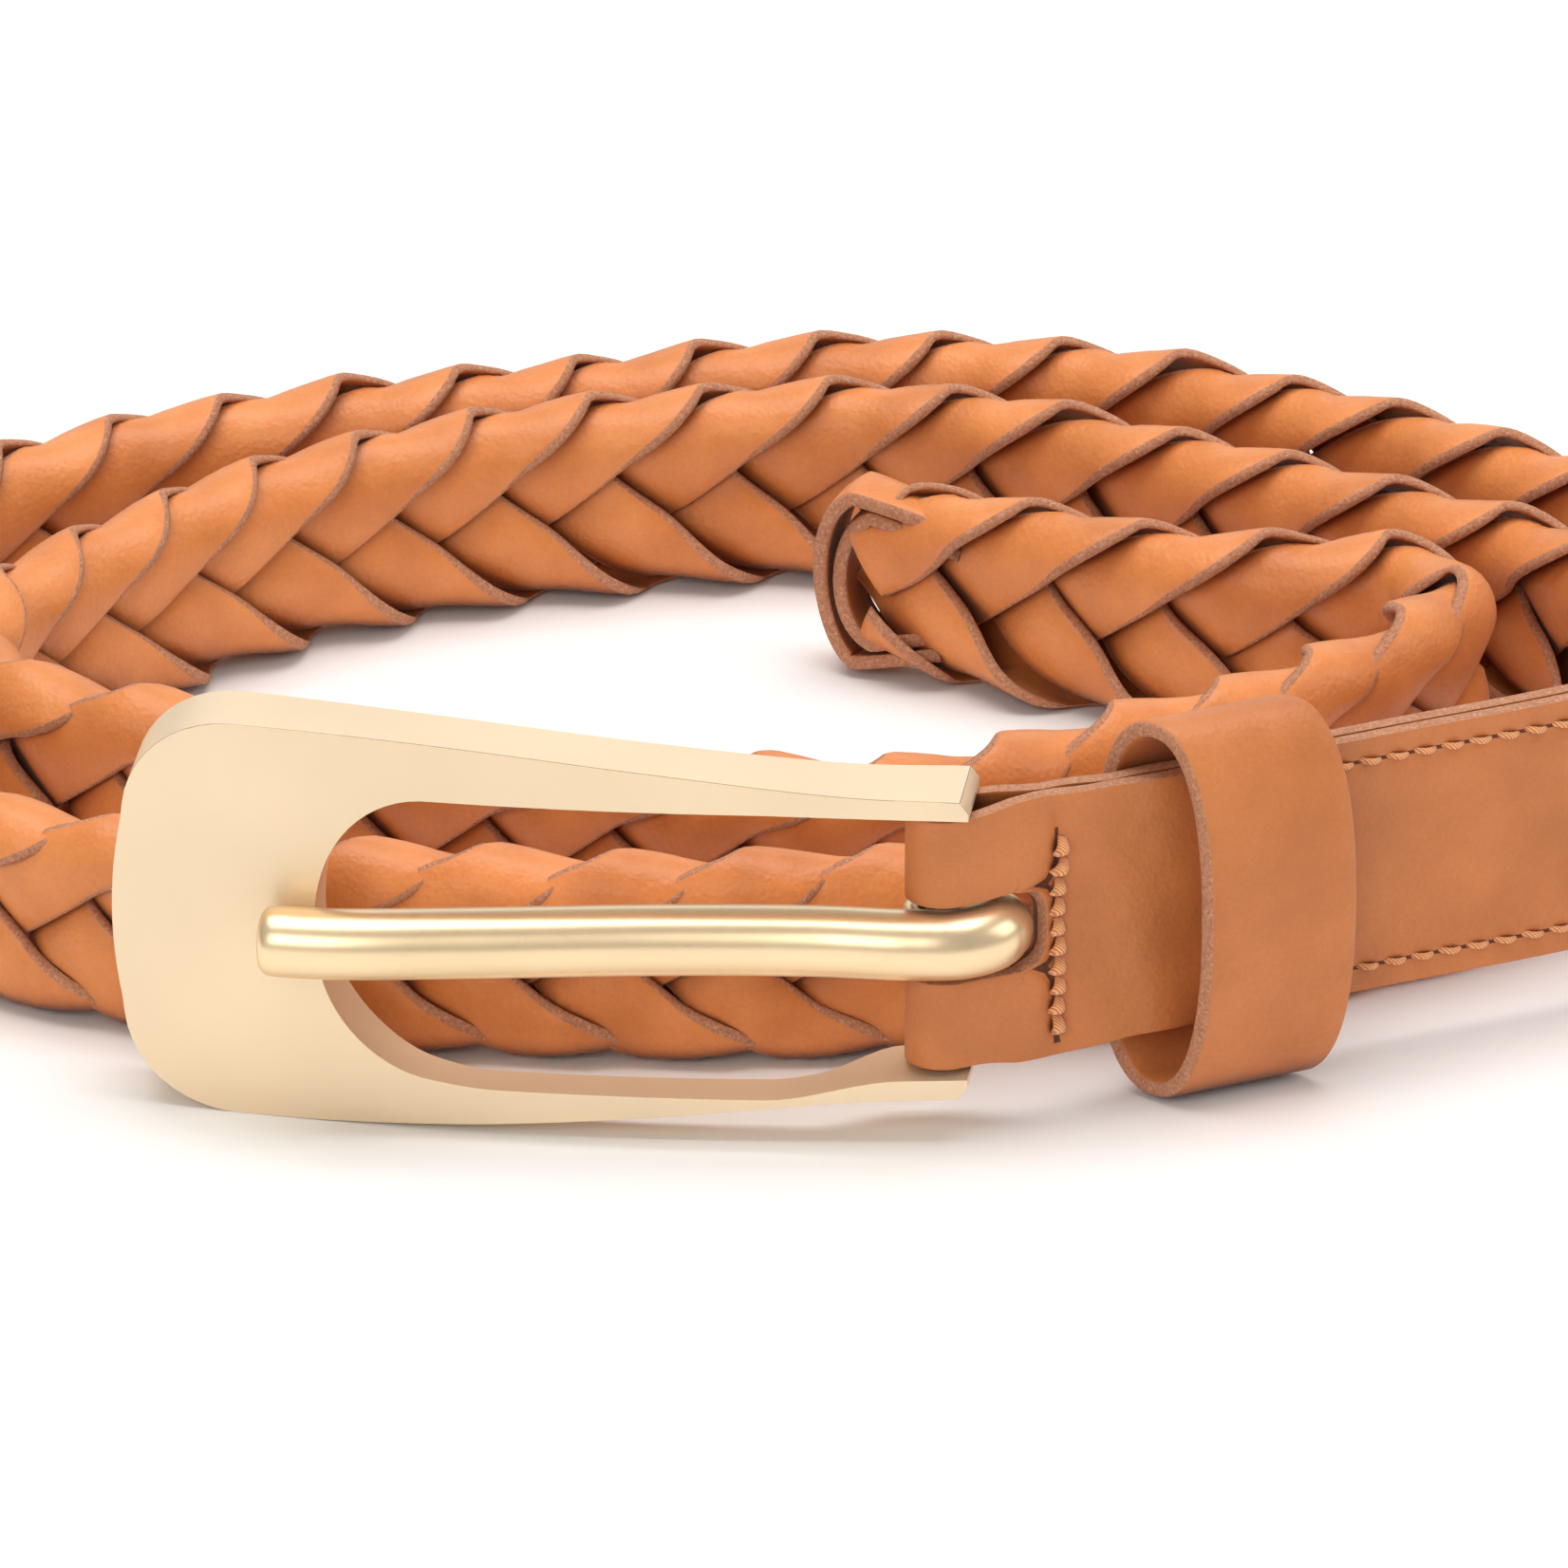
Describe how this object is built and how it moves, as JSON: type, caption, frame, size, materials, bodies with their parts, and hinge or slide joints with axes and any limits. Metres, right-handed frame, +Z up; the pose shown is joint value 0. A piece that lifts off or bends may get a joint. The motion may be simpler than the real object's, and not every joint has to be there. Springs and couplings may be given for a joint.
{
  "type": "braided leather belt",
  "caption": "Narrow flat-braided leather belt, rolled up on its edge, with a stitched tab, a loose oval keeper and a long U-shaped plate buckle with a thick round prong.",
  "frame": {"origin": "middle of the rolled belt's footprint, on the surface it stands on", "axes": "+X along the buckle from its plate to its bar, +Y from the buckle into the roll, +Z up"},
  "size_m": [0.1806, 0.1322, 0.035],
  "materials": {
    "tan_leather": "smooth tan leather with a fine grain and a soft satin sheen",
    "braid_leather": "soft tan leather strands, slightly creased, satin, with raw paler edges",
    "tan_thread": "twisted polyester thread, light orange tan",
    "pale_gold": "satin pale champagne gold plating",
    "bright_gold": "polished light gold plating",
    "bar_steel": "plain drawn steel wire"
  },
  "bodies": {
    "strap": {"tab_strip": "tan_leather", "fold_stitching_front": "tan_thread", "fold_stitching_back": "tan_thread", "upper_edge_stitching_front": "tan_thread", "upper_edge_stitching_back": "tan_thread", "lower_edge_stitching_front": "tan_thread", "lower_edge_stitching_back": "tan_thread", "braid_root": "braid_leather", "braid_span_01": "braid_leather", "braid_span_02": "braid_leather", "braid_span_03": "braid_leather", "braid_span_04": "braid_leather", "braid_span_05": "braid_leather", "braid_span_06": "braid_leather", "braid_span_07": "braid_leather", "braid_span_08": "braid_leather", "braid_span_09": "braid_leather", "braid_span_10": "braid_leather", "braid_span_11": "braid_leather", "braid_span_12": "braid_leather", "braid_span_13": "braid_leather", "braid_span_14": "braid_leather", "braid_span_15": "braid_leather", "braid_span_16": "braid_leather", "braid_span_17": "braid_leather", "braid_span_18": "braid_leather", "braid_span_19": "braid_leather", "braid_span_20": "braid_leather", "tip_binding": "braid_leather"},
    "buckle": {"buckle_frame": "pale_gold", "hinge_bar": "bar_steel"},
    "prong": {"prong": "bright_gold"},
    "keeper": {"keeper_loop": "tan_leather"}
  },
  "joints": [
    {"name": "buckle_hinge", "type": "hinge", "parent": "strap", "child": "buckle", "pos_m": [0.01075, -0.06074, 0.0175], "axis": [0, 0, 1], "range_deg": [0, 45]},
    {"name": "prong_hinge", "type": "hinge", "parent": "buckle", "child": "prong", "pos_m": [0.01075, -0.06074, 0.0175], "axis": [0, 0, 1], "range_deg": [0, 95]},
    {"name": "keeper_slide", "type": "slide", "parent": "strap", "child": "keeper", "axis": [0.9041, 0.4274, 0], "range_m": [-0.005, 0.026]}
  ]
}
